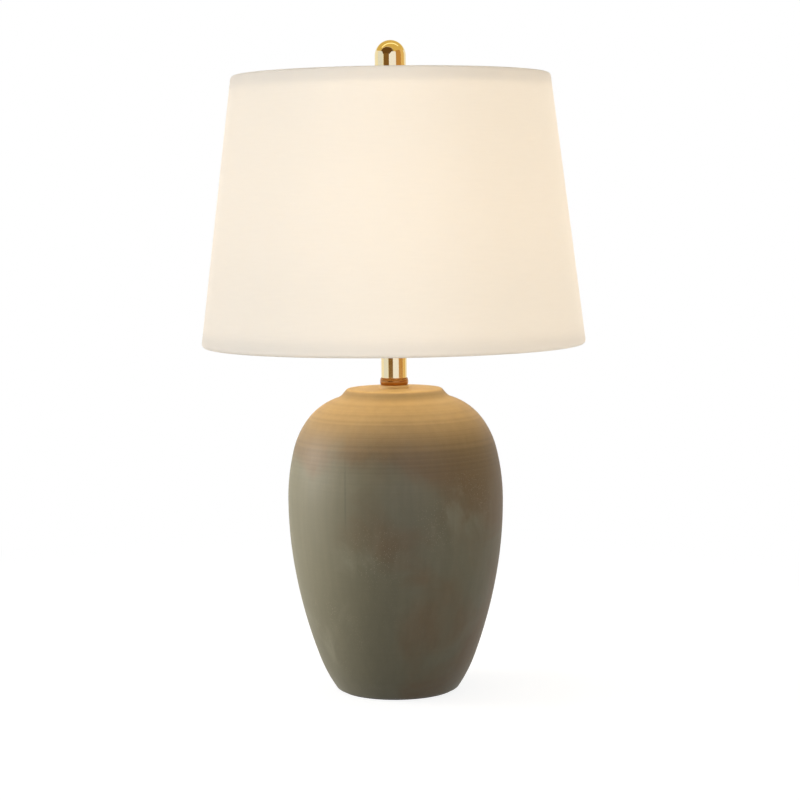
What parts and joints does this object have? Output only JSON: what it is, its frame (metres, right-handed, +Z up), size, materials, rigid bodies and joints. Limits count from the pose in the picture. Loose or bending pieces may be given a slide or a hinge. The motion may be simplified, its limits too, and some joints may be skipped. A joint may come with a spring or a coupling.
{
  "type": "table lamp",
  "caption": "Glazed ceramic jar lamp with a brass neck, a turn-knob socket, a harp, a tapered cloth shade on a spider and a domed finial.",
  "frame": {"origin": "centre of the felt pad's underside, where the lamp stands on a table", "axes": "+Z up along the jar's axis; -Y is the front, which the switch knob faces; +Y is the back, where the cord leaves; the harp lies in the X-Z plane"},
  "size_m": [0.3291, 0.3292, 0.5592],
  "materials": {
    "glaze": "matt mottled grey-green glaze",
    "felt": "felt",
    "grommet_plastic": "moulded",
    "zinc_steel": "zinc plated",
    "polished_brass": "polished",
    "plated_wire": "brass-plated steel",
    "socket_brass": "spun, satin",
    "card": "pressed card",
    "switch_moulding": "moulded",
    "bare_aluminium": "rolled",
    "knob_plastic": "moulded",
    "bulb_housing": "moulded",
    "bulb_diffuser": "frosted, lit",
    "bulb_cap": "nickel plated",
    "bulb_glass_insulator": "fired",
    "clear_styrene": "satin sheet",
    "shade_cloth": "plain-woven linen look"
  },
  "bodies": {
    "base": {"ceramic_body": "glaze", "felt_pad": "felt", "cord_grommet": "grommet_plastic", "threaded_pipe": "zinc_steel", "bottom_washer": "zinc_steel", "lock_washer": "zinc_steel", "bottom_nut": "zinc_steel", "neck_ring": "polished_brass", "neck_tube": "polished_brass", "neck_cap": "polished_brass", "harp_saddle": "plated_wire", "socket_cap": "socket_brass", "socket_set_screw": "zinc_steel", "socket_shell": "socket_brass", "socket_liner": "card", "socket_interior": "switch_moulding", "terminal_screws": "zinc_steel", "screw_shell": "bare_aluminium", "centre_contact": "socket_brass"},
    "switch": {"switch_shaft": "zinc_steel", "switch_knob": "knob_plastic"},
    "bulb": {"bulb_contact": "bulb_cap", "bulb_insulator": "bulb_glass_insulator", "bulb_screw_base": "bulb_cap", "bulb_heat_body": "bulb_housing", "bulb_globe": "bulb_diffuser"},
    "harp": {"harp_loop": "plated_wire"},
    "left_sleeve": {"left_ferrule": "plated_wire"},
    "right_sleeve": {"right_ferrule": "plated_wire"},
    "stud": {"harp_stud": "plated_wire"},
    "shade": {"spider_hub": "plated_wire", "spider_arm_1": "plated_wire", "spider_arm_2": "plated_wire", "spider_arm_3": "plated_wire", "shade_top_ring": "plated_wire", "shade_bottom_ring": "plated_wire", "shade_panel": "clear_styrene", "shade_cover": "shade_cloth"},
    "finial": {"finial_base": "polished_brass", "finial_dome": "polished_brass"}
  },
  "joints": [
    {"name": "switch_turn", "type": "hinge", "parent": "base", "child": "switch", "pos_m": [0, -0.02, 0.3251], "axis": [0, -1, 0], "continuous": true},
    {"name": "bulb_lift", "type": "slide", "parent": "base", "child": "bulb", "axis": [0, 0, 1], "range_m": [0, 0.03]},
    {"name": "harp_lift", "type": "slide", "parent": "base", "child": "harp", "axis": [0, 0, 1], "range_m": [0, 0.125]},
    {"name": "left_ferrule_lift", "type": "slide", "parent": "harp", "child": "left_sleeve", "axis": [0, 0, 1], "range_m": [0, 0.015]},
    {"name": "right_ferrule_lift", "type": "slide", "parent": "harp", "child": "right_sleeve", "axis": [0, 0, 1], "range_m": [0, 0.015]},
    {"name": "shade_turn", "type": "hinge", "parent": "harp", "child": "stud", "pos_m": [0, 0, 0.513], "axis": [0, 0, 1], "continuous": true},
    {"name": "shade_lift", "type": "slide", "parent": "stud", "child": "shade", "axis": [0, 0, 1], "range_m": [0, 0.23]},
    {"name": "finial_lift", "type": "slide", "parent": "shade", "child": "finial", "axis": [0, 0, 1], "range_m": [0, 0.03]}
  ]
}
